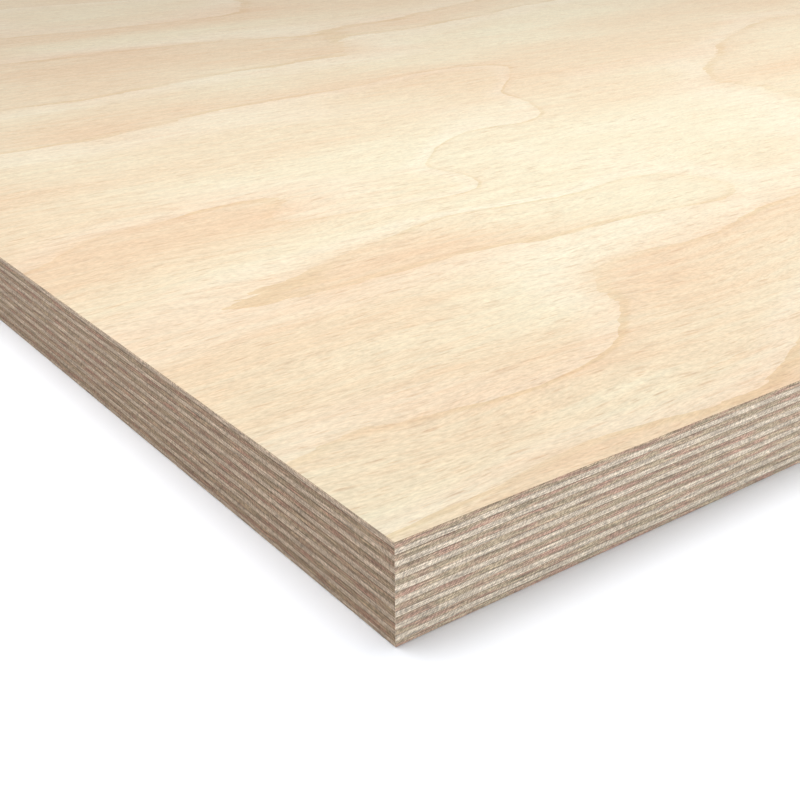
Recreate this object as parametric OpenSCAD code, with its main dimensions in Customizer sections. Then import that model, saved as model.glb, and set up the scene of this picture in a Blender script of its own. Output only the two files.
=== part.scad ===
// Beech plywood sheet: rotary-cut veneers glued crosswise, sanded and sawn to size.
// The sheet lies flat. X runs along the face grain, Y across it and Z up.
// The origin is the middle of the underside.

/* [Sheet] */
// Length of the sheet, along the face grain
sheet_length = 2200; // [600:10:3100]
// Width of the sheet, across the face grain
sheet_width = 1250; // [400:10:1850]
// Thickness of the finished sheet, after sanding
sheet_thickness = 25; // [12:0.5:50]

/* [Plies] */
// Number of veneers, always odd so that both faces run the same way
ply_count = 17; // [5:2:33]
// Thickness that sanding leaves on each of the two outer veneers
outer_veneer = 1.4; // [0.6:0.1:2]

/* [Edges] */
// Width of the 45 degree flat that takes the sharpness off the sawn arrises
arris = 0.2; // [0.05:0.05:0.5]

/* [Hidden] */
inner_veneer = (sheet_thickness - 2 * outer_veneer) / (ply_count - 2);

FACE_COLOR = "#F0E0C6";
LONG_GRAIN_COLOR = "#B8A28C";
CROSS_GRAIN_COLOR = "#CFC4B0";

// Plies are numbered from the top face down, and odd ones have their grain along X.
function is_outer(ply) = ply == 1 || ply == ply_count;
function runs_along_x(ply) = ply % 2 == 1;
function two_digits(number) = str(number < 10 ? "0" : "", number);

function ply_name(ply) =
    ply == 1 ? "face_veneer" :
    ply == ply_count ? "back_veneer" :
    str(runs_along_x(ply) ? "long_ply_" : "cross_ply_", two_digits(ply));

function ply_color(ply) =
    is_outer(ply) ? FACE_COLOR :
    runs_along_x(ply) ? LONG_GRAIN_COLOR : CROSS_GRAIN_COLOR;

// Height of the underside of a ply: the back of the sheet, or the glue line below the ply.
function ply_bottom(ply) =
    ply == ply_count ? 0 : outer_veneer + (ply_count - 1 - ply) * inner_veneer;

// A bar along Y, of the given span and height, with both upper arrises cut off.
module arrised_bar(span, height, bar_length) {
    rotate([90, 0, 0])
        linear_extrude(height = bar_length, center = true)
            polygon([
                [-span / 2, 0],
                [span / 2, 0],
                [span / 2, height - arris],
                [span / 2 - arris, height],
                [-span / 2 + arris, height],
                [-span / 2, height - arris],
            ]);
}

// An outer veneer with its outside up and the arris taken off all four sides.
module outer_ply() {
    intersection() {
        arrised_bar(sheet_length, outer_veneer, sheet_width);
        rotate([0, 0, 90])
            arrised_bar(sheet_width, outer_veneer, sheet_length);
    }
}

// A veneer between two glue lines, sawn square with the rest of the sheet.
module inner_ply() {
    translate([-sheet_length / 2, -sheet_width / 2, 0])
        cube([sheet_length, sheet_width, inner_veneer]);
}

module veneer(ply) {
    color(ply_color(ply))
        translate([0, 0, ply_bottom(ply)])
            if (ply == 1)
                outer_ply();
            else if (ply == ply_count)
                translate([0, 0, outer_veneer]) rotate([180, 0, 0]) outer_ply();
            else
                inner_ply();
}

for (ply = [1 : ply_count])
    veneer(ply);
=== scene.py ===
"""Beech plywood sheet: veneers with wandering glue lines, sanded faces and sawn edges."""
import math

import bmesh
import bpy
import numpy as np
from bpy.props import FloatProperty, FloatVectorProperty, PointerProperty
from bpy.types import Operator, Panel, PropertyGroup
from mathutils import Matrix, Vector, noise


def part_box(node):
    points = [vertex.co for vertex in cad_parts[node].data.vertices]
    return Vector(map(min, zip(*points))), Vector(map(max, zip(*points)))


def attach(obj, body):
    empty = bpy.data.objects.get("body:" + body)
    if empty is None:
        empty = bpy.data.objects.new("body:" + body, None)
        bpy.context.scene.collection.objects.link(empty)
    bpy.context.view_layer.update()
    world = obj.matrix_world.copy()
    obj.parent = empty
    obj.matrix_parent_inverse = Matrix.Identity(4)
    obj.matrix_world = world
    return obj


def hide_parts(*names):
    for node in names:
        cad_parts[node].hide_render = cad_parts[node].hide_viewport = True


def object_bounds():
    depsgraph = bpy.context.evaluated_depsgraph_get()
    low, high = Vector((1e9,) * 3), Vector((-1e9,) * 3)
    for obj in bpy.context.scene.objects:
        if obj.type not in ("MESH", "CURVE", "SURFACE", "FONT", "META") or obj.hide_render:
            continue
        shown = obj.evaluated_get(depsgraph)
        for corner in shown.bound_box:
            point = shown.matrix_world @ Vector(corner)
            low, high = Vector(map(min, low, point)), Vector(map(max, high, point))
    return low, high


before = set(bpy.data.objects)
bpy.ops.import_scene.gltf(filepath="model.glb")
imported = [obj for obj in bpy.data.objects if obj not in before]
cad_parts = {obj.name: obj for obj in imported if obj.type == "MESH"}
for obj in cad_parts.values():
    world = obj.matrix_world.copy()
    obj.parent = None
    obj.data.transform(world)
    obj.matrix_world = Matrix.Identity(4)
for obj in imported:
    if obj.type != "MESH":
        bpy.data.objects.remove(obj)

bl_info = {
    "name": "Beech Plywood Sheet",
    "version": (1, 0, 0),
    "blender": (4, 5, 0),
    "location": "3D View > Sidebar > Plywood",
    "description": "Lays up a beech plywood sheet from its veneers and lights it on a pale floor",
    "category": "Object",
}

MM = 0.001

# The sheet's box and its veneers, from the top face down, as the frame gives them.
CAD_LOW, CAD_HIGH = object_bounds()
HALF_LENGTH, HALF_WIDTH = CAD_HIGH.x, CAD_HIGH.y
TOP = CAD_HIGH.z
PLIES = sorted(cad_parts, key=lambda node: -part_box(node)[1].z)
PLY_LOW = [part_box(node)[0].z for node in PLIES]
PLY_HIGH = [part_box(node)[1].z for node in PLIES]
PLY_STEP = PLY_HIGH[1] - PLY_LOW[1]
CORNER = Vector((CAD_LOW.x, CAD_LOW.y, 0.0))

# Where the camera and the lamps stand and what the lamps point at, in metres from the sheet's
# near corner, with the camera's angles in degrees and the lamps' sizes in metres.
CAMERA_PLACE = Vector((-0.1179, -0.1627, 0.1513))
CAMERA_TURN = -36.29
CAMERA_TILT = 64.59
CAMERA_ROLL = -0.4
SOFTBOX_PLACE = Vector((1.0, 0.17, 0.37))
SOFTBOX_AIM = Vector((1.0, 0.17, 0.0))
SOFTBOX_SIZE = (2.4, 0.36)
STRIP_PLACE = Vector((0.5, -1.6, 0.07))
STRIP_AIM = Vector((0.5, 0.0, 0.02))
STRIP_SIZE = (1.8, 0.1)
FLOOR_RADIUS = 40.0
# The direction, across the corner, from which most of the room's light comes.
ROOM_BACK = (0.25, 0.97, 0.0)

# How far in from the edge a veneer lies level again, past the wander of its glue lines.
LEVEL_INSET = 30 * MM


def srgb(code, alpha=1.0):
    """Turns an sRGB hex colour into a linear one."""
    values = (int(code[i : i + 2], 16) / 255 for i in (0, 2, 4))
    linear = [v / 12.92 if v <= 0.04045 else ((v + 0.055) / 1.055) ** 2.4 for v in values]
    return (*linear, alpha)


def colour(name, code, description):
    """A colour property with an sRGB hex default."""
    return FloatVectorProperty(
        name=name, description=description, subtype="COLOR", size=4, min=0, max=1, default=srgb(code)
    )


class VeneerSettings(PropertyGroup):
    """Sizes of the lay-up that pressing and sawing leave."""

    wander: FloatProperty(
        name="Glue line wander",
        description="How far a glue line strays up or down along the edge",
        default=0.13 * MM, unit="LENGTH", precision=5,
    )
    wander_length: FloatProperty(
        name="Wander length",
        description="Distance along the edge over which a glue line strays",
        default=70 * MM, unit="LENGTH", precision=4,
    )
    groove: FloatProperty(
        name="Glue line groove",
        description="How far the sawn edge sinks in at a glue line",
        default=0.08 * MM, unit="LENGTH", precision=5,
    )
    arris: FloatProperty(
        name="Arris",
        description="Width of the flat on the sharp edges of both faces",
        default=0.2 * MM, unit="LENGTH", precision=5,
    )
    mesh_step: FloatProperty(
        name="Mesh step",
        description="Distance between the points that carry the figure and the glue lines",
        default=6 * MM, unit="LENGTH", precision=4,
    )


class BeechSettings(PropertyGroup):
    """Colours and sizes of the beech."""

    early_wood: colour("Early wood", "CBBDA5", "Palest wood, just outside a growth line")
    body_wood: colour("Body", "C8B99E", "Wood in the middle of a ring")
    late_wood: colour("Late wood", "C7B69B", "Pinkish wood just inside a growth line")
    growth_line: colour("Growth line", "C2AF90", "The thin line that ends a ring")
    cream_tint: FloatVectorProperty(
        name="Cream tint", description="Tint of the palest patches", subtype="COLOR", size=4,
        min=0, max=2, default=(1.0, 1.075, 1.12, 1.0),
    )
    pink_tint: FloatVectorProperty(
        name="Pink tint", description="Tint of the pinkest patches", subtype="COLOR", size=4,
        min=0, max=2, default=(0.96, 0.86, 0.82, 1.0),
    )
    fleck: colour("Fleck", "A68365", "Short dark rays in the face")
    end_grain: colour("End grain", "A79480", "Sawn ends of the fibres")
    long_grain: colour("Long grain", "927E66", "Fibres sawn along their length")
    long_grain_red: colour("Long grain, red", "91715F", "Reddish streaks along the fibres")
    glue: colour("Glue line", "5E4838", "Hardened glue between two veneers")
    fleck_length: FloatProperty(
        name="Fleck length", description="Length of a ray fleck in the face",
        default=3.0 * MM, unit="LENGTH", precision=4,
    )
    fleck_width: FloatProperty(
        name="Fleck width", description="Width of a ray fleck in the face",
        default=0.42 * MM, unit="LENGTH", precision=4,
    )


class StudioSettings(PropertyGroup):
    """Camera and light."""

    lens: FloatProperty(
        name="Lens", description="Focal length of the camera", default=54.5, unit="CAMERA",
    )
    room: FloatProperty(
        name="Room", description="Brightness of the light from all round", default=1.1, min=0,
    )
    room_slant: FloatProperty(
        name="Room slant", description="How much brighter the room is behind the sheet",
        default=1.0, min=0, max=1, subtype="FACTOR",
    )
    softbox: FloatProperty(
        name="Softbox", description="Power of the softbox above the sheet", default=3.85,
        unit="POWER", min=0,
    )
    strip: FloatProperty(
        name="Strip", description="Power of the low strip light before the long edge",
        default=41.0, unit="POWER", min=0,
    )


def add_node(tree, kind, links=None, stops=None, **settings):
    """Adds a node with its settings, its inputs (values or sockets) and its ramp stops."""
    node = tree.nodes.new(kind)
    for key, value in settings.items():
        setattr(node, key, value)
    for key, value in (links or {}).items():
        if isinstance(value, bpy.types.NodeSocket):
            tree.links.new(value, node.inputs[key])
        else:
            node.inputs[key].default_value = value
    if stops:
        elements = node.color_ramp.elements
        while len(elements) < len(stops):
            elements.new(0.5)
        for element, (position, tone) in zip(elements, stops):
            element.position = position
            element.color = tone
    return node


# Sockets of the Mix node when it mixes colours.
MIX_FACTOR, MIX_A, MIX_B, MIX_RESULT = 0, 6, 7, 2


def new_material(name):
    """An empty node material with its output and shader."""
    material = bpy.data.materials.new(name)
    material.use_nodes = True
    material.node_tree.nodes.clear()
    tree = material.node_tree
    shader = add_node(tree, "ShaderNodeBsdfPrincipled")
    add_node(tree, "ShaderNodeOutputMaterial", {"Surface": shader.outputs["BSDF"]})
    return material, tree, shader


def grey(level):
    """A grey to be used as a ramp stop."""
    return (level, level, level, 1.0)


def face_scale(length, width):
    """Mapping scale of a face pattern whose marks have this length and width in millimetres."""
    return (1 / (length * MM), 1 / (width * MM), 1)


def edge_scale(length, width):
    """The same on a sawn edge, whose map runs in metres along and in plies across."""
    return (1 / (length * MM), PLY_STEP / (width * MM), 1)


def sanded_beech(name, beech, seed):
    """Rotary-cut beech, sanded and bare.

    The knife peels the log just off its rings, so a ring shows as a wide band that ends in a
    thin orange line with pale wood outside it, and broad pink and cream patches lie across the
    bands. Fine dark ray flecks run with the grain everywhere. Sanding leaves it matt.
    """
    material, tree, shader = new_material(name)
    place = add_node(tree, "ShaderNodeTexCoord").outputs["Object"]
    growth = add_node(tree, "ShaderNodeAttribute", attribute_name="growth").outputs["Fac"]
    blush = add_node(tree, "ShaderNodeAttribute", attribute_name="blush").outputs["Fac"]

    # The grain bends by a few degrees over a hand's width.
    bend_place = add_node(tree, "ShaderNodeMapping", {
        "Vector": place, "Location": (seed, seed, 0), "Scale": face_scale(90, 35)})
    bend = add_node(tree, "ShaderNodeTexNoise", {
        "Vector": bend_place.outputs["Vector"], "Scale": 1.0, "Detail": 1.0}, noise_dimensions="2D")
    bend_centred = add_node(tree, "ShaderNodeMath", {
        0: bend.outputs["Fac"], 1: 0.5}, operation="SUBTRACT")
    bend_offset = add_node(tree, "ShaderNodeCombineXYZ", {"Y": bend_centred.outputs["Value"]})
    bend_scaled = add_node(tree, "ShaderNodeVectorMath", {
        0: bend_offset.outputs["Vector"], "Scale": 12 * MM}, operation="SCALE")
    grain = add_node(tree, "ShaderNodeVectorMath", {
        0: place, 1: bend_scaled.outputs["Vector"]}, operation="ADD").outputs["Vector"]

    # Growth lines waver over a few millimetres, longer along the grain than across it.
    waver_place = add_node(tree, "ShaderNodeMapping", {
        "Vector": place, "Scale": face_scale(30, 8)})
    waver = add_node(tree, "ShaderNodeTexNoise", {
        "Vector": waver_place.outputs["Vector"], "Scale": 1.0, "Detail": 3.0, "Roughness": 0.6},
        noise_dimensions="2D")
    waver_step = add_node(tree, "ShaderNodeMath", {
        0: waver.outputs["Fac"], 1: 0.07, 2: growth}, operation="MULTIPLY_ADD")
    ring = add_node(tree, "ShaderNodeMath", {0: waver_step.outputs["Value"]}, operation="FRACT")
    sharp_ring = add_node(tree, "ShaderNodeValToRGB", {"Fac": ring.outputs["Value"]}, stops=[
        (0.0, beech.early_wood), (0.05, beech.early_wood), (0.2, beech.body_wood),
        (0.84, beech.body_wood), (0.95, beech.late_wood), (0.975, beech.growth_line),
        (1.0, beech.growth_line)])
    soft_ring = add_node(tree, "ShaderNodeValToRGB", {"Fac": ring.outputs["Value"]}, stops=[
        (0.0, beech.late_wood), (0.1, beech.early_wood), (0.25, beech.body_wood),
        (0.7, beech.body_wood), (1.0, beech.late_wood)])
    clear_place = add_node(tree, "ShaderNodeMapping", {
        "Vector": place, "Location": (seed, 8.0, 0), "Scale": face_scale(80, 40)})
    clear = add_node(tree, "ShaderNodeTexNoise", {
        "Vector": clear_place.outputs["Vector"], "Scale": 1.0, "Detail": 2.0},
        noise_dimensions="2D")
    clearness = add_node(tree, "ShaderNodeMapRange", {
        "Value": clear.outputs["Fac"], "From Min": 0.35, "From Max": 0.6,
        "To Min": 0.25, "To Max": 1.0})
    ring_colour = add_node(tree, "ShaderNodeMix", {
        MIX_FACTOR: clearness.outputs["Result"], MIX_A: soft_ring.outputs["Color"],
        MIX_B: sharp_ring.outputs["Color"]}, data_type="RGBA")

    # Pink and cream patches, streaked along the grain at their borders.
    streak_place = add_node(tree, "ShaderNodeMapping", {
        "Vector": grain, "Location": (seed, 3.0, 0), "Scale": face_scale(60, 3.5)})
    streak = add_node(tree, "ShaderNodeTexNoise", {
        "Vector": streak_place.outputs["Vector"], "Scale": 1.0, "Detail": 4.0, "Roughness": 0.6},
        noise_dimensions="2D")
    streaked_blush = add_node(tree, "ShaderNodeMath", {
        0: streak.outputs["Fac"], 1: 2.4, 2: blush}, operation="MULTIPLY_ADD")
    blush_tone = add_node(tree, "ShaderNodeMapRange", {
        "Value": streaked_blush.outputs["Value"], "From Min": 0.0, "From Max": 2.4})
    patch = add_node(tree, "ShaderNodeMix", {
        MIX_FACTOR: blush_tone.outputs["Result"], MIX_A: beech.cream_tint,
        MIX_B: beech.pink_tint}, data_type="RGBA")
    patched = add_node(tree, "ShaderNodeMix", {
        MIX_FACTOR: 1.0, MIX_A: ring_colour.outputs[MIX_RESULT],
        MIX_B: patch.outputs[MIX_RESULT]}, data_type="RGBA", blend_type="MULTIPLY")
    tint = patched.outputs[MIX_RESULT]

    # Ray flecks: short spindles along the grain, in two sets so that they overlap and vary.
    fleck_masks = []
    for share, offset in ((1.0, 0.0), (2.0, 0.37)):
        fleck_place = add_node(tree, "ShaderNodeMapping", {
            "Vector": grain, "Location": (seed + offset * 10, offset * 7, 0),
            "Scale": (0.5 / (beech.fleck_length * share), 0.5 / (beech.fleck_width * share), 1)})
        fleck_cell = add_node(tree, "ShaderNodeTexVoronoi", {
            "Vector": fleck_place.outputs["Vector"], "Scale": 1.0}, voronoi_dimensions="2D")
        fleck_shape = add_node(tree, "ShaderNodeMapRange", {
            "Value": fleck_cell.outputs["Distance"], "From Min": 0.42, "From Max": 0.1,
            "To Min": 0.0, "To Max": 1.0}, interpolation_type="SMOOTHSTEP")
        fleck_some = add_node(tree, "ShaderNodeMath", {
            0: fleck_cell.outputs["Color"], 1: 3.0}, operation="POWER")
        fleck_mask = add_node(tree, "ShaderNodeMath", {
            0: fleck_some.outputs["Value"], 1: fleck_shape.outputs["Result"]},
            operation="MULTIPLY")
        fleck_share = add_node(tree, "ShaderNodeMath", {
            0: fleck_mask.outputs["Value"], 1: 0.5}, operation="MULTIPLY")
        tint = add_node(tree, "ShaderNodeMix", {
            MIX_FACTOR: fleck_share.outputs["Value"], MIX_A: tint, MIX_B: beech.fleck},
            data_type="RGBA").outputs[MIX_RESULT]
        fleck_masks.append(fleck_mask.outputs["Value"])

    # Fibres: longer than wide. Real ones are 0.02 mm wide, drawn at 0.6 mm so that they show.
    fibre_place = add_node(tree, "ShaderNodeMapping", {
        "Vector": grain, "Scale": face_scale(2.2, 0.6)})
    fibre = add_node(tree, "ShaderNodeTexNoise", {
        "Vector": fibre_place.outputs["Vector"], "Scale": 1.0, "Detail": 3.0, "Roughness": 0.65},
        noise_dimensions="2D")
    fibre_tone = add_node(tree, "ShaderNodeValToRGB", {"Fac": fibre.outputs["Fac"]}, stops=[
        (0.25, grey(0.87)), (0.75, grey(1.13))])
    fibred = add_node(tree, "ShaderNodeMix", {
        MIX_FACTOR: 1.0, MIX_A: tint, MIX_B: fibre_tone.outputs["Color"]},
        data_type="RGBA", blend_type="MULTIPLY")

    # Bundles of fibres catch the light differently, in streaks a few millimetres wide.
    bundle_place = add_node(tree, "ShaderNodeMapping", {
        "Vector": grain, "Location": (seed, 6.0, 0), "Scale": face_scale(12, 3.2)})
    bundle = add_node(tree, "ShaderNodeTexNoise", {
        "Vector": bundle_place.outputs["Vector"], "Scale": 1.0, "Detail": 2.0, "Roughness": 0.7},
        noise_dimensions="2D")
    bundle_tone = add_node(tree, "ShaderNodeValToRGB", {"Fac": bundle.outputs["Fac"]}, stops=[
        (0.3, grey(0.95)), (0.7, grey(1.05))])
    finished = add_node(tree, "ShaderNodeMix", {
        MIX_FACTOR: 1.0, MIX_A: fibred.outputs[MIX_RESULT], MIX_B: bundle_tone.outputs["Color"]},
        data_type="RGBA", blend_type="MULTIPLY")
    tree.links.new(finished.outputs[MIX_RESULT], shader.inputs["Base Color"])

    roughness = add_node(tree, "ShaderNodeMapRange", {
        "Value": fibre.outputs["Fac"], "To Min": 0.52, "To Max": 0.68})
    tree.links.new(roughness.outputs["Result"], shader.inputs["Roughness"])
    shader.inputs["IOR"].default_value = 1.45
    shader.inputs["Specular IOR Level"].default_value = 0.15
    relief = add_node(tree, "ShaderNodeMath", {
        0: fibre.outputs["Fac"], 1: fleck_masks[0]}, operation="SUBTRACT")
    bump = add_node(tree, "ShaderNodeBump", {
        "Height": relief.outputs["Value"], "Strength": 0.2, "Distance": 0.04 * MM})
    tree.links.new(bump.outputs["Normal"], shader.inputs["Normal"])
    return material


def sawn_long_grain(name, beech):
    """Beech veneer sawn along its fibres: darker, streaked and reddish in patches."""
    material, tree, shader = new_material(name)
    run = add_node(tree, "ShaderNodeUVMap", uv_map="edge").outputs["UV"]

    # Fibre bundles 40 mm long, and reddish patches nearly as thick as the veneer.
    streak_place = add_node(tree, "ShaderNodeMapping", {
        "Vector": run, "Scale": edge_scale(40, 0.3)})
    streak = add_node(tree, "ShaderNodeTexNoise", {
        "Vector": streak_place.outputs["Vector"], "Scale": 1.0, "Detail": 4.0, "Roughness": 0.6},
        noise_dimensions="2D")
    red_place = add_node(tree, "ShaderNodeMapping", {
        "Vector": run, "Location": (7.0, 3.0, 0), "Scale": edge_scale(10, 1.3)})
    red = add_node(tree, "ShaderNodeTexNoise", {
        "Vector": red_place.outputs["Vector"], "Scale": 1.0, "Detail": 2.0}, noise_dimensions="2D")
    red_share = add_node(tree, "ShaderNodeMapRange", {
        "Value": red.outputs["Fac"], "From Min": 0.42, "From Max": 0.68})
    ground = add_node(tree, "ShaderNodeMix", {
        MIX_FACTOR: red_share.outputs["Result"], MIX_A: beech.long_grain,
        MIX_B: beech.long_grain_red}, data_type="RGBA")
    streak_tone = add_node(tree, "ShaderNodeValToRGB", {"Fac": streak.outputs["Fac"]}, stops=[
        (0.34, grey(0.81)), (0.5, grey(1.0)), (0.66, grey(1.2))])
    streaked = add_node(tree, "ShaderNodeMix", {
        MIX_FACTOR: 1.0, MIX_A: ground.outputs[MIX_RESULT], MIX_B: streak_tone.outputs["Color"]},
        data_type="RGBA", blend_type="MULTIPLY")
    # Painted highlight and shade across the veneer's thickness: lighter towards both glue lines and
    # darker in the middle, as light falls on the sawn edge.
    height = add_node(tree, "ShaderNodeSeparateXYZ", {"Vector": run}).outputs["Y"]
    across = add_node(tree, "ShaderNodeMath", {0: height}, operation="FRACT")
    painted_ply_shade = add_node(tree, "ShaderNodeValToRGB", {"Fac": across.outputs["Value"]}, stops=[
        (0.0, grey(1.16)), (0.2, grey(1.06)), (0.4, grey(0.96)), (0.8, grey(0.95)),
        (1.0, grey(1.12))])
    ply_with_painted_shade = add_node(tree, "ShaderNodeMix", {
        MIX_FACTOR: 1.0, MIX_A: streaked.outputs[MIX_RESULT], MIX_B: painted_ply_shade.outputs["Color"]},
        data_type="RGBA", blend_type="MULTIPLY")
    finish_sawn_edge(tree, shader, beech, run, ply_with_painted_shade.outputs[MIX_RESULT], 0.34)
    return material


def sawn_end_grain(name, beech):
    """Beech veneer sawn across its fibres: paler, finely lined, with a speckle of pores."""
    material, tree, shader = new_material(name)
    run = add_node(tree, "ShaderNodeUVMap", uv_map="edge").outputs["UV"]

    # Rings cross a veneer at a flat angle, so they show as long thin lines.
    line_place = add_node(tree, "ShaderNodeMapping", {
        "Vector": run, "Location": (3.0, 5.0, 0), "Scale": edge_scale(40, 0.25)})
    line = add_node(tree, "ShaderNodeTexNoise", {
        "Vector": line_place.outputs["Vector"], "Scale": 1.0, "Detail": 3.0, "Roughness": 0.6},
        noise_dimensions="2D")
    line_tone = add_node(tree, "ShaderNodeValToRGB", {"Fac": line.outputs["Fac"]}, stops=[
        (0.34, grey(0.85)), (0.5, grey(1.0)), (0.66, grey(1.14))])
    lined = add_node(tree, "ShaderNodeMix", {
        MIX_FACTOR: 1.0, MIX_A: beech.end_grain, MIX_B: line_tone.outputs["Color"]},
        data_type="RGBA", blend_type="MULTIPLY")
    # Painted highlight and shade across the veneer's thickness: lighter a little above the middle
    # and darker below it, as light falls on the sawn edge.
    height = add_node(tree, "ShaderNodeSeparateXYZ", {"Vector": run}).outputs["Y"]
    across = add_node(tree, "ShaderNodeMath", {0: height}, operation="FRACT")
    painted_ply_shade = add_node(tree, "ShaderNodeValToRGB", {"Fac": across.outputs["Value"]}, stops=[
        (0.0, grey(0.98)), (0.3, grey(0.96)), (0.64, grey(1.06)), (1.0, grey(0.97))])
    ply_with_painted_shade = add_node(tree, "ShaderNodeMix", {
        MIX_FACTOR: 1.0, MIX_A: lined.outputs[MIX_RESULT], MIX_B: painted_ply_shade.outputs["Color"]},
        data_type="RGBA", blend_type="MULTIPLY")
    finish_sawn_edge(tree, shader, beech, run, ply_with_painted_shade.outputs[MIX_RESULT], 0.3)
    return material


def finish_sawn_edge(tree, shader, beech, run, tone, contrast):
    """Adds what the saw leaves on both kinds of grain: pores, scratches, glue, a matt surface."""
    # Pores are 0.1 mm across, drawn 0.2 mm wide and 9 mm long so that they show as fine lines.
    pore_place = add_node(tree, "ShaderNodeMapping", {
        "Vector": run, "Scale": edge_scale(9, 0.2)})
    pore = add_node(tree, "ShaderNodeTexNoise", {
        "Vector": pore_place.outputs["Vector"], "Scale": 1.0, "Detail": 2.0, "Roughness": 0.6},
        noise_dimensions="2D")
    pore_tone = add_node(tree, "ShaderNodeValToRGB", {"Fac": pore.outputs["Fac"]}, stops=[
        (0.36, grey(1.0 - contrast)), (0.5, grey(1.0)), (0.64, grey(1.0 + 1.15 * contrast))])
    pored = add_node(tree, "ShaderNodeMix", {
        MIX_FACTOR: 1.0, MIX_A: tone, MIX_B: pore_tone.outputs["Color"]},
        data_type="RGBA", blend_type="MULTIPLY")

    # The saw's teeth leave slanting scratches 1 mm long and 0.26 mm apart.
    in_millimetres = add_node(tree, "ShaderNodeMapping", {
        "Vector": run, "Scale": edge_scale(1, 1)})
    scratch_place = add_node(tree, "ShaderNodeMapping", {
        "Vector": in_millimetres.outputs["Vector"], "Rotation": (0, 0, math.radians(40)),
        "Scale": (1.0, 0.26, 1)}, vector_type="TEXTURE")
    scratch = add_node(tree, "ShaderNodeTexNoise", {
        "Vector": scratch_place.outputs["Vector"], "Scale": 1.0, "Detail": 0.0},
        noise_dimensions="2D")
    scratch_tone = add_node(tree, "ShaderNodeValToRGB", {"Fac": scratch.outputs["Fac"]}, stops=[
        (0.32, grey(0.7)), (0.5, grey(1.0)), (0.68, grey(1.32))])
    speckled = add_node(tree, "ShaderNodeMix", {
        MIX_FACTOR: 1.0, MIX_A: pored.outputs[MIX_RESULT], MIX_B: scratch_tone.outputs["Color"]},
        data_type="RGBA", blend_type="MULTIPLY")

    # Glue shows as a thin brown line that comes and goes.
    height = add_node(tree, "ShaderNodeSeparateXYZ", {"Vector": run}).outputs["Y"]
    across = add_node(tree, "ShaderNodeMath", {0: height}, operation="FRACT")
    from_middle = add_node(tree, "ShaderNodeMath", {
        0: across.outputs["Value"], 1: 0.5}, operation="SUBTRACT")
    glue_near = add_node(tree, "ShaderNodeMath", {
        0: from_middle.outputs["Value"]}, operation="ABSOLUTE")
    glue_mask = add_node(tree, "ShaderNodeMapRange", {
        "Value": glue_near.outputs["Value"], "From Min": 0.43, "From Max": 0.49,
        "To Min": 0.0, "To Max": 1.0})
    ooze_place = add_node(tree, "ShaderNodeMapping", {
        "Vector": run, "Scale": edge_scale(30, 1.644)})
    ooze = add_node(tree, "ShaderNodeTexNoise", {
        "Vector": ooze_place.outputs["Vector"], "Scale": 1.0, "Detail": 2.0}, noise_dimensions="2D")
    ooze_share = add_node(tree, "ShaderNodeMapRange", {
        "Value": ooze.outputs["Fac"], "From Min": 0.45, "From Max": 0.65,
        "To Min": 0.45, "To Max": 0.85})
    glue_share = add_node(tree, "ShaderNodeMath", {
        0: glue_mask.outputs["Result"], 1: ooze_share.outputs["Result"]}, operation="MULTIPLY")
    glued = add_node(tree, "ShaderNodeMix", {
        MIX_FACTOR: glue_share.outputs["Value"], MIX_A: speckled.outputs[MIX_RESULT],
        MIX_B: beech.glue}, data_type="RGBA")
    tree.links.new(glued.outputs[MIX_RESULT], shader.inputs["Base Color"])
    shader.inputs["Roughness"].default_value = 0.75
    shader.inputs["IOR"].default_value = 1.45
    shader.inputs["Specular IOR Level"].default_value = 0.25
    bump = add_node(tree, "ShaderNodeBump", {
        "Height": pore.outputs["Fac"], "Strength": 0.3, "Distance": 0.08 * MM})
    tree.links.new(bump.outputs["Normal"], shader.inputs["Normal"])


def glue_line(ply, x, y, veneers):
    """Height of the glue line under a ply (0 is the top one) at a point of the edge."""
    if ply < 0:
        return TOP
    if ply == len(PLIES) - 1:
        return 0.0
    at = Vector((x, y, 0.0)) / veneers.wander_length
    at.z = ply * 3.7
    slow = noise.noise(at)
    quick = noise.noise(at * 3.1)
    return PLY_LOW[ply] + veneers.wander * (slow + 0.4 * quick)


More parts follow.
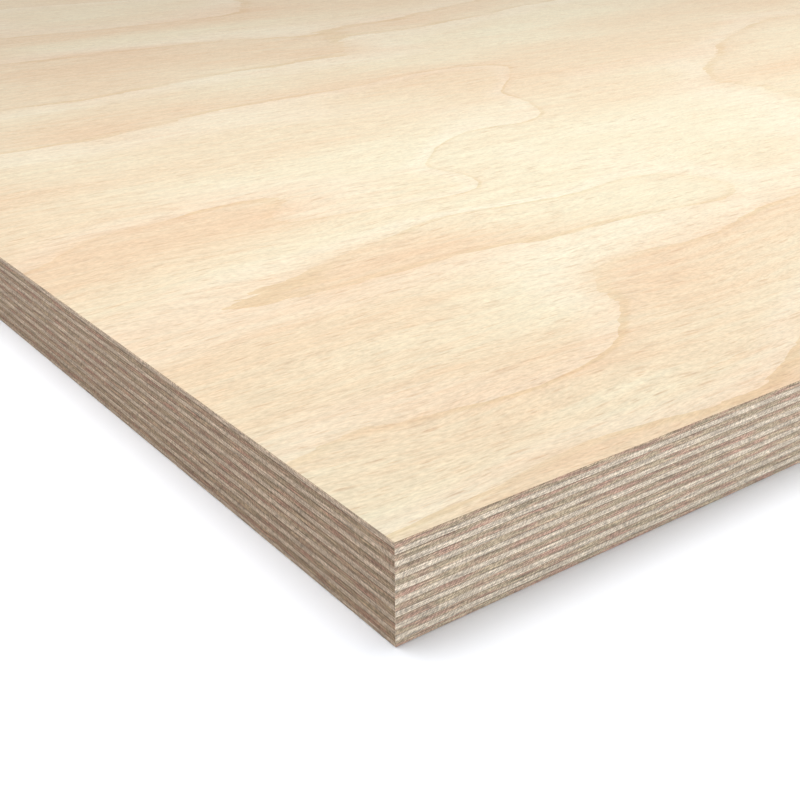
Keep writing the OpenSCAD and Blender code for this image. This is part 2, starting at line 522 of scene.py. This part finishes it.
def build_veneer(name, ply, veneers):
    """One veneer as a closed shell: a sheet, its sawn edge and the other sheet."""
    bm = bmesh.new()
    outer = ply in (0, len(PLIES) - 1)
    home = bm.verts.layers.float_vector.new("home")
    share_of = bm.verts.layers.float.new("share")
    size = Matrix.Diagonal((HALF_LENGTH, HALF_WIDTH, 1.0, 1.0))
    steps_x = round(2 * HALF_LENGTH / veneers.mesh_step)
    steps_y = round(2 * HALF_WIDTH / veneers.mesh_step)
    if outer:
        bmesh.ops.create_grid(bm, x_segments=steps_x, y_segments=steps_y, size=1.0, matrix=size)
    else:
        bmesh.ops.create_grid(bm, x_segments=1, y_segments=1, size=1.0, matrix=size)
        long_edges = [edge for edge in bm.edges if abs(edge.verts[0].co.y - edge.verts[1].co.y) < MM]
        short_edges = [edge for edge in bm.edges if edge not in long_edges]
        bmesh.ops.bisect_edges(bm, edges=long_edges, cuts=steps_x - 1)
        bmesh.ops.bisect_edges(bm, edges=short_edges, cuts=steps_y - 1)
    for vert in bm.verts:
        vert[home] = vert.co

    low, high = PLY_LOW[ply], PLY_HIGH[ply]
    face_up = ply == 0
    # Each row is (inset, share of the height, level or not), from the first sheet to the last.
    groove = veneers.groove
    if outer:
        arris_share = veneers.arris / (high - low)
        rows = [
            (veneers.arris, 1.0), (0.0, 1.0 - arris_share), (0.0, 0.5), (0.0, 0.1),
            (groove, 0.0), (LEVEL_INSET, None),
        ]
        if not face_up:
            rows = [(inset, None if share is None else 1.0 - share) for inset, share in rows]
    else:
        rows = [
            (LEVEL_INSET, None), (groove, 1.0), (0.0, 0.92), (0.0, 0.08), (groove, 0.0),
            (LEVEL_INSET, None),
        ]

    def put(vert, inset, share, level):
        x, y = vert[home].x, vert[home].y
        if share is None:
            z = level
        else:
            lower = glue_line(ply, x, y, veneers)
            upper = glue_line(ply - 1, x, y, veneers)
            z = lower + (upper - lower) * share
        vert.co = (x * (1 - inset / HALF_LENGTH), y * (1 - inset / HALF_WIDTH), z)
        vert[share_of] = share if share is not None else round((level - low) / (high - low))

    start_level, end_level = (low, high) if ply == len(PLIES) - 1 else (high, low)
    for vert in bm.verts:
        put(vert, rows[0][0], None, start_level)
    rim = [edge for edge in bm.edges if edge.is_boundary]
    for inset, share in rows[1:]:
        grown = bmesh.ops.extrude_edge_only(bm, edges=rim)["geom"]
        for item in grown:
            if isinstance(item, bmesh.types.BMVert):
                put(item, inset, share, end_level)
        rim = [item for item in grown if isinstance(item, bmesh.types.BMEdge) and item.is_boundary]
    bmesh.ops.holes_fill(bm, edges=rim)
    bmesh.ops.recalc_face_normals(bm, faces=bm.faces[:])

    runs_along_x = ply % 2 == 0
    edge_map = bm.loops.layers.uv.new("edge")
    for face in bm.faces:
        middle = face.calc_center_median()
        on_long_edge = HALF_WIDTH - abs(middle.y) < HALF_LENGTH - abs(middle.x)
        if abs(face.normal.z) > 0.99:
            face.material_index = 0
        else:
            face.material_index = 1 if on_long_edge == runs_along_x else 2
        for loop in face.loops:
            along = loop.vert[home].x if on_long_edge else loop.vert[home].y + 10.0
            loop[edge_map].uv = (along, loop.vert[share_of] * 0.998 + 0.001 + ply)

    mesh = bpy.data.meshes.new(name)
    bm.to_mesh(mesh)
    bm.free()
    piece = bpy.data.objects.new(name, mesh)
    bpy.context.scene.collection.objects.link(piece)
    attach(piece, "root")
    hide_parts(PLIES[ply])
    return piece


# Growth lines of the face veneer near the front left corner, in millimetres from that corner
# along the length and the width. The number is the ring that ends at the line.
GROWTH_LINES = [
    (1, [(-20, 2), (0, 5), (40, 8), (75, 9), (110, 7), (150, 22), (200, 50), (300, 90), (400, 125)]),
    (2, [(-20, 40), (0, 42), (27, 50), (38, 42), (75, 39), (95, 42), (110, 50), (122, 62), (128, 78),
         (140, 95), (160, 103), (185, 97), (215, 99), (235, 106), (260, 107), (300, 112)]),
    (2, [(-20, 119), (0, 120), (60, 124), (120, 126), (175, 121), (220, 120), (300, 124)]),
    (2, [(-20, 127), (0, 129), (60, 143), (120, 160), (150, 166), (200, 160), (260, 140)]),
    (3, [(-20, 196), (12, 205), (20, 215), (60, 222), (85, 228), (115, 226), (106, 208), (94, 194),
         (130, 187), (165, 184), (178, 190), (184, 212), (190, 235), (212, 254), (235, 264),
         (250, 268), (264, 260), (280, 268), (300, 300), (330, 345), (352, 374), (342, 384),
         (260, 380), (150, 362), (50, 346), (0, 344)]),
    (2, [(398, 200), (402, 225), (412, 250), (412, 280), (430, 300), (460, 320), (482, 336),
         (512, 356), (600, 400)]),
    (2, [(0, 428), (60, 430), (82, 432), (180, 445), (255, 453), (300, 457), (322, 465), (328, 490),
         (345, 512), (372, 520), (410, 520), (450, 532), (540, 560)]),
    (2, [(40, 574), (131, 570), (200, 571), (280, 568), (340, 560), (400, 572), (460, 590),
         (520, 612)]),
    (3, [(100, 674), (165, 670), (240, 660), (310, 665), (342, 682), (365, 712), (370, 760)]),
]
# Rings between the lines.
GROWTH_SPOTS = [
    (0.8, 60, -10), (1.12, 60, 16), (1.8, 60, 32), (1.5, 180, 60), (1.85, 150, 75), (2.1, 60, 50),
    (2.4, 40, 80), (2.3, 80, 95), (2.1, 60, 112), (2.1, 120, 100), (1.9, 60, 134), (1.85, 110, 143),
    (1.75, 170, 143), (1.7, 230, 132), (2.1, 60, 160), (2.2, 125, 175), (2.6, 50, 200),
    (2.8, 80, 214), (3.1, 140, 205), (3.1, 80, 242), (3.1, 165, 225), (3.35, 60, 280),
    (3.3, 180, 310), (3.1, 60, 330), (3.1, 200, 355), (3.1, 270, 300), (2.35, 198, 215),
    (2.3, 225, 238), (2.35, 275, 245), (2.4, 320, 300), (2.4, 345, 340), (2.3, 160, 172),
    (2.15, 260, 200), (2.15, 330, 200), (2.1, 380, 240), (2.35, 385, 300), (2.2, 240, 218),
    (2.15, 330, 165), (2.2, 290, 150), (2.4, 420, 370), (2.9, 150, 375),
    (2.5, 180, 405), (2.1, 200, 436), (1.85, 120, 450), (1.6, 200, 500), (1.7, 260, 530),
    (2.3, 360, 430), (2.2, 400, 490), (2.4, 520, 480), (1.85, 450, 290), (1.5, 520, 300),
    (1.85, 380, 545), (1.85, 460, 562), (1.8, 540, 590), (2.1, 220, 585), (2.6, 220, 630),
    (2.9, 240, 650), (3.3, 250, 720), (2.4, 430, 640), (2.2, 400, 600),
]
# Pinkness of the patches, from cream (about -1) to pink (about 1).
BLUSH_SPOTS = [
    (0.8, 60, 2), (0.8, 110, 4), (0.3, 30, 32), (-0.4, 15, 15), (-0.5, 90, 24), (0.0, 50, 75),
    (0.7, 60, 37), (0.8, 95, 36), (0.3, 140, 45), (0.9, 145, 72), (0.6, 200, 85), (0.2, 190, 60),
    (0.6, 240, 100), (-0.9, 112, 75), (-0.9, 130, 105), (-0.7, 160, 115), (0.0, 90, 90),
    (-0.3, 220, 113), (0.6, 40, 127), (0.9, 90, 136), (0.8, 125, 143), (-0.4, 50, 158),
    (-0.7, 100, 174), (-0.9, 160, 172), (0.8, 20, 178), (1.1, 60, 190), (1.0, 92, 204),
    (0.9, 30, 213), (0.1, 110, 225), (0.1, 60, 240), (0.3, 30, 265), (0.2, 80, 285),
    (0.5, 15, 300), (0.0, 150, 290), (-0.2, 190, 340), (0.1, 110, 325), (-0.6, 70, 342),
    (-0.6, 160, 358), (-0.9, 230, 190), (-1.0, 290, 210), (-1.0, 350, 240), (-0.8, 260, 160),
    (-0.9, 200, 200), (-0.9, 385, 220), (-0.8, 300, 250), (0.0, 250, 310), (0.3, 330, 315),
    (0.5, 400, 355), (0.4, 460, 395), (0.0, 350, 280), (-0.3, 420, 300), (0.2, 450, 260),
    (0.1, 520, 300), (0.8, 80, 362), (0.7, 160, 385), (0.5, 250, 398), (0.5, 90, 395),
    (-0.5, 90, 420), (-0.6, 200, 432), (-0.5, 300, 438), (0.6, 120, 460), (0.8, 160, 500),
    (0.7, 250, 500), (0.9, 200, 545), (0.7, 295, 480), (0.5, 300, 530), (-0.7, 370, 480),
    (-1.0, 450, 490), (-0.9, 520, 510), (-0.7, 400, 440), (-0.5, 560, 540), (0.4, 420, 545),
    (0.4, 500, 580), (-0.5, 180, 590), (-0.5, 260, 590), (-0.3, 340, 590), (1.0, 180, 635),
    (0.9, 250, 640), (0.9, 320, 650), (0.6, 390, 660), (0.5, 420, 710), (-0.1, 250, 700),
    (-0.2, 310, 740), (0.0, 200, 740), (0.2, 560, 420), (-0.2, 620, 380),
]


def pulled_field(points, free, marks, reach):
    """A field that follows `free` far from the marks and passes through them, as a map is
    drawn from its contour lines. Marks are (value, x, y) from the corner in millimetres."""
    values = np.array([free(x, y) for x, y in points])
    if not marks:
        return values
    marks = np.array(marks, dtype=float)
    spots = marks[:, 1:] * MM + np.array([CORNER.x, CORNER.y])
    pulls = marks[:, 0] - np.array([free(x, y) for x, y in spots])

    def kinship(a, b):
        """How far one point follows another; further along the grain than across it."""
        gap = (a[:, None, :] - b[None, :, :]) / np.array([1.6, 1.0]) / reach
        distance = np.sqrt((gap ** 2).sum(axis=2))
        return (1 + distance) * np.exp(-distance)

    known = kinship(spots, spots) + 1e-3 * np.eye(len(spots))
    return values + kinship(points, spots) @ np.linalg.solve(known, pulls)


def drift(x, y, length, width, seed):
    """Smooth drift across a face, over this length and width in millimetres."""
    return noise.noise(Vector((x / (length * MM), y / (width * MM), seed)))


def add_figure(piece, seed, lines=(), growth_spots=(), blush_spots=()):
    """Stores ring number and pinkness on a face veneer's points, for its material."""
    def free_growth(x, y):
        broad = drift(x, y, 620, 160, seed)
        narrow = drift(x, y, 230, 70, seed + 9.0)
        return 2.4 + 1.9 * broad + 0.45 * narrow

    def free_blush(x, y):
        broad = drift(x, y, 350, 90, seed + 20.0)
        narrow = drift(x, y, 120, 30, seed + 30.0)
        return 1.2 * broad + 0.7 * narrow

    mesh = piece.data
    places = np.array([vert.co[:2] for vert in mesh.vertices])
    growth_marks = [(ring, x, y) for ring, line in lines for x, y in line] + list(growth_spots)
    for name, free, marks, reach in (
        ("growth", free_growth, growth_marks, 55 * MM),
        ("blush", free_blush, blush_spots, 30 * MM),
    ):
        layer = mesh.attributes.new(name, "FLOAT", "POINT")
        layer.data.foreach_set("value", pulled_field(places, free, marks, reach))


class BEECH_SHEET_OT_face_veneers(Operator):
    """Cut and sand the two face veneers, with their figure"""

    bl_idname = "beech_sheet.face_veneers"
    bl_label = "Face Veneers"

    def execute(self, context):
        veneers, beech = context.scene.sheet_veneers, context.scene.sheet_beech
        sheets = (
            ("sanded_face_veneer", 0, 4.0, (GROWTH_LINES, GROWTH_SPOTS, BLUSH_SPOTS)),
            ("sanded_back_veneer", len(PLIES) - 1, 27.0, ()),
        )
        for name, ply, seed, figure in sheets:
            piece = build_veneer(name, ply, veneers)
            add_figure(piece, seed, *figure)
            piece.data.materials.append(sanded_beech(name + "_beech", beech, seed))
            piece.data.materials.append(sawn_long_grain(name + "_long_grain", beech))
            piece.data.materials.append(sawn_end_grain(name + "_end_grain", beech))
        return {"FINISHED"}


class BEECH_SHEET_OT_inner_plies(Operator):
    """Lay up the inner plies, each with its grain across its neighbours'"""

    bl_idname = "beech_sheet.inner_plies"
    bl_label = "Inner Plies"

    def execute(self, context):
        veneers, beech = context.scene.sheet_veneers, context.scene.sheet_beech
        long_grain = sawn_long_grain("sawn_long_grain_beech", beech)
        end_grain = sawn_end_grain("sawn_end_grain_beech", beech)
        for ply in range(1, len(PLIES) - 1):
            piece = build_veneer("pressed_" + PLIES[ply], ply, veneers)
            for material in (long_grain, long_grain, end_grain):
                piece.data.materials.append(material)
        return {"FINISHED"}


class BEECH_SHEET_OT_studio(Operator):
    """Set the sheet on a pale floor with a camera at its near corner and soft light"""

    bl_idname = "beech_sheet.studio"
    bl_label = "Studio"

    def execute(self, context):
        studio = context.scene.sheet_studio
        bm = bmesh.new()
        bmesh.ops.create_circle(bm, cap_ends=True, segments=96, radius=FLOOR_RADIUS)
        mesh = bpy.data.meshes.new("floor")
        bm.to_mesh(mesh)
        bm.free()
        floor = bpy.data.objects.new("floor", mesh)
        context.scene.collection.objects.link(floor)
        # Matt white paint on board: bright and even, with hardly any gloss.
        material, tree, shader = new_material("matt_white_floor")
        shader.inputs["Base Color"].default_value = srgb("F9FBFF")
        shader.inputs["Roughness"].default_value = 0.9
        shader.inputs["Specular IOR Level"].default_value = 0.1
        mesh.materials.append(material)

        camera = bpy.data.cameras.new("camera")
        camera.lens = studio.lens
        camera.clip_start = 0.01
        holder = bpy.data.objects.new("camera", camera)
        context.scene.collection.objects.link(holder)
        turn = Matrix.Rotation(math.radians(CAMERA_TURN), 4, "Z")
        tilt = Matrix.Rotation(math.radians(CAMERA_TILT), 4, "X")
        roll = Matrix.Rotation(math.radians(CAMERA_ROLL), 4, "Z")
        stand = Matrix.Translation(CORNER + CAMERA_PLACE)
        holder.matrix_world = stand @ turn @ tilt @ roll
        context.scene.camera = holder

        softbox = bpy.data.lights.new("softbox", "AREA")
        softbox.shape = "RECTANGLE"
        softbox.size, softbox.size_y = SOFTBOX_SIZE
        softbox.energy = studio.softbox
        strip = bpy.data.lights.new("strip_light", "AREA")
        strip.shape = "RECTANGLE"
        strip.size, strip.size_y = STRIP_SIZE
        strip.energy = studio.strip
        strip.color = srgb("DDF0FF")[:3]
        for light, place, aim in (
            (softbox, SOFTBOX_PLACE, SOFTBOX_AIM),
            (strip, STRIP_PLACE, STRIP_AIM),
        ):
            lamp = bpy.data.objects.new(light.name, light)
            context.scene.collection.objects.link(lamp)
            lamp.location = CORNER + place
            lamp.rotation_euler = (aim - place).to_track_quat("-Z", "Y").to_euler()
            lamp.visible_camera = False

        world = bpy.data.worlds.new("soft_room")
        world.use_nodes = True
        tree = world.node_tree
        tree.nodes.clear()
        direction = add_node(tree, "ShaderNodeTexCoord").outputs["Generated"]
        height = add_node(tree, "ShaderNodeSeparateXYZ", {"Vector": direction}).outputs["Z"]
        behind = add_node(tree, "ShaderNodeVectorMath", {
            0: direction, 1: ROOM_BACK}, operation="DOT_PRODUCT")
        room = add_node(tree, "ShaderNodeMapRange", {
            "Value": behind.outputs["Value"], "From Min": -0.7, "From Max": 0.7,
            "To Min": studio.room * (1 - studio.room_slant),
            "To Max": studio.room * (1 + studio.room_slant)})
        overhead = add_node(tree, "ShaderNodeMapRange", {
            "Value": height, "To Min": 0.1, "To Max": 1.45})
        shaded_room = add_node(tree, "ShaderNodeMath", {
            0: room.outputs["Result"], 1: overhead.outputs["Result"]}, operation="MULTIPLY")
        rays = add_node(tree, "ShaderNodeLightPath")
        seen = add_node(tree, "ShaderNodeMix", {
            0: rays.outputs["Is Camera Ray"], 2: shaded_room.outputs["Value"], 3: 1.0})
        background = add_node(tree, "ShaderNodeBackground", {
            "Color": srgb("FFFFFF"), "Strength": seen.outputs[0]})
        add_node(tree, "ShaderNodeOutputWorld", {"Surface": background.outputs["Background"]})
        context.scene.world = world
        context.scene.view_settings.view_transform = "Standard"
        return {"FINISHED"}


class BEECH_SHEET_PT_panel(Panel):
    """Builds the sheet and shows its settings."""

    bl_label = "Beech Plywood Sheet"
    bl_space_type = "VIEW_3D"
    bl_region_type = "UI"
    bl_category = "Plywood"

    def draw(self, context):
        layout = self.layout
        for operator in OPERATORS:
            layout.operator(operator.bl_idname)
        for group in (context.scene.sheet_veneers, context.scene.sheet_beech,
                      context.scene.sheet_studio):
            for name in group.bl_rna.properties.keys():
                if name not in {"rna_type", "name"}:
                    layout.prop(group, name)


SETTINGS = {
    "sheet_veneers": VeneerSettings,
    "sheet_beech": BeechSettings,
    "sheet_studio": StudioSettings,
}
OPERATORS = (
    BEECH_SHEET_OT_studio,
    BEECH_SHEET_OT_face_veneers,
    BEECH_SHEET_OT_inner_plies,
)
CLASSES = (*SETTINGS.values(), *OPERATORS, BEECH_SHEET_PT_panel)


def register():
    for cls in CLASSES:
        bpy.utils.register_class(cls)
    for name, group in SETTINGS.items():
        setattr(bpy.types.Scene, name, PointerProperty(type=group))


def unregister():
    for name in SETTINGS:
        delattr(bpy.types.Scene, name)
    for cls in reversed(CLASSES):
        bpy.utils.unregister_class(cls)


def main():
    register()
    bpy.ops.beech_sheet.studio()
    bpy.ops.beech_sheet.face_veneers()
    bpy.ops.beech_sheet.inner_plies()


if __name__ == "__main__":
    main()
